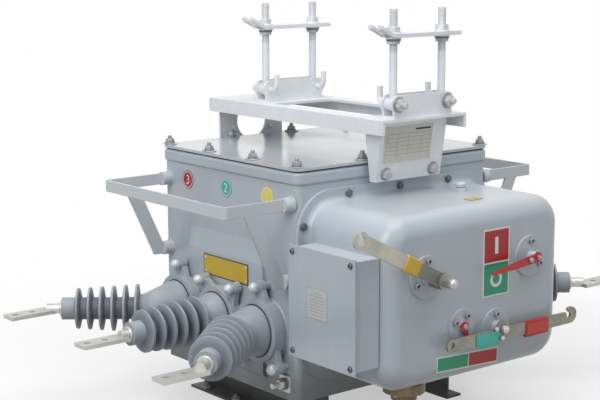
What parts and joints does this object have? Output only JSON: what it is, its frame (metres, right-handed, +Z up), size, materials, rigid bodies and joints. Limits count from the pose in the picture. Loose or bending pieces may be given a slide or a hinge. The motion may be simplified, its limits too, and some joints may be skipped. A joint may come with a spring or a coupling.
{
  "type": "outdoor vacuum circuit breaker",
  "caption": "Pole-hung vacuum circuit breaker: sealed tank, ribbed bushings fanned on both sides, deep-drawn mechanism housing with handles, hanging frame with beam clamps.",
  "frame": {"origin": "on the floor, in the middle of the whole object's length and depth", "axes": "+X across the front to the right, +Y from the mechanism housing to the back, +Z up"},
  "size_m": [1.2698, 0.8634, 0.872],
  "materials": {
    "tank_paint": "satin",
    "silicone": "matte",
    "gasket_rubber": "matte",
    "rail_black": "satin",
    "galvanized": "satin",
    "tinned": "satin",
    "clamp_cast": "satin",
    "lever_steel": "satin",
    "signal_red": "gloss",
    "bronze": "satin"
  },
  "bodies": {
    "breaker": {"tank_body": "tank_paint", "lid_gasket": "gasket_rubber", "tank_lid": "tank_paint", "support_rail_left": "rail_black", "support_rail_right": "rail_black", "bushing_left_front": "silicone", "bushing_left_middle": "silicone", "bushing_left_rear": "silicone", "bushing_right_front": "silicone", "bushing_right_middle": "silicone", "bushing_right_rear": "silicone", "terminal_left_front": "tinned", "terminal_left_middle": "tinned", "terminal_left_rear": "tinned", "terminal_right_front": "tinned", "terminal_right_middle": "tinned", "terminal_right_rear": "tinned", "clamp_left_front": "clamp_cast", "clamp_left_middle": "clamp_cast", "clamp_left_rear": "clamp_cast", "clamp_right_front": "clamp_cast", "clamp_right_middle": "clamp_cast", "clamp_right_rear": "clamp_cast", "guard_rail_left": "tank_paint", "guard_rail_right": "tank_paint", "mechanism_housing": "tank_paint", "terminal_box": "tank_paint", "terminal_box_cover": "tank_paint", "charging_plate": "tank_paint", "lever_plate": "tank_paint", "position_plate": "tank_paint", "spring_plate": "tank_paint", "cable_connector": "bronze", "earth_stud": "galvanized", "hanging_frame": "tank_paint", "front_bracket": "tank_paint", "rear_bracket": "tank_paint", "front_clamp_cheeks": "galvanized", "rear_clamp_cheeks": "galvanized", "front_clamp_rods": "galvanized", "rear_clamp_rods": "galvanized", "front_clamp_bar": "galvanized", "rear_clamp_bar": "galvanized"},
    "charging_handle": {"charging_handle": "lever_steel"},
    "open_close_lever": {"open_close_lever": "lever_steel"},
    "position_pointer": {"position_pointer": "signal_red"},
    "spring_pointer": {"spring_pointer": "signal_red"}
  },
  "joints": [
    {"name": "charging_handle_turn", "type": "hinge", "parent": "breaker", "child": "charging_handle", "pos_m": [-0.147, -0.3553, 0.3735], "axis": [0, -1, 0], "range_deg": [0, 80]},
    {"name": "open_close_turn", "type": "hinge", "parent": "breaker", "child": "open_close_lever", "pos_m": [0.046, -0.3553, 0.2435], "axis": [0, -1, 0], "range_deg": [-25, 25]},
    {"name": "position_turn", "type": "hinge", "parent": "breaker", "child": "position_pointer", "pos_m": [0.142, -0.3553, 0.3755], "axis": [0, 1, 0], "range_deg": [0, 22]},
    {"name": "spring_state_turn", "type": "hinge", "parent": "breaker", "child": "spring_pointer", "pos_m": [-0.05, -0.3553, 0.2615], "axis": [0, -1, 0], "range_deg": [0, 40]}
  ]
}
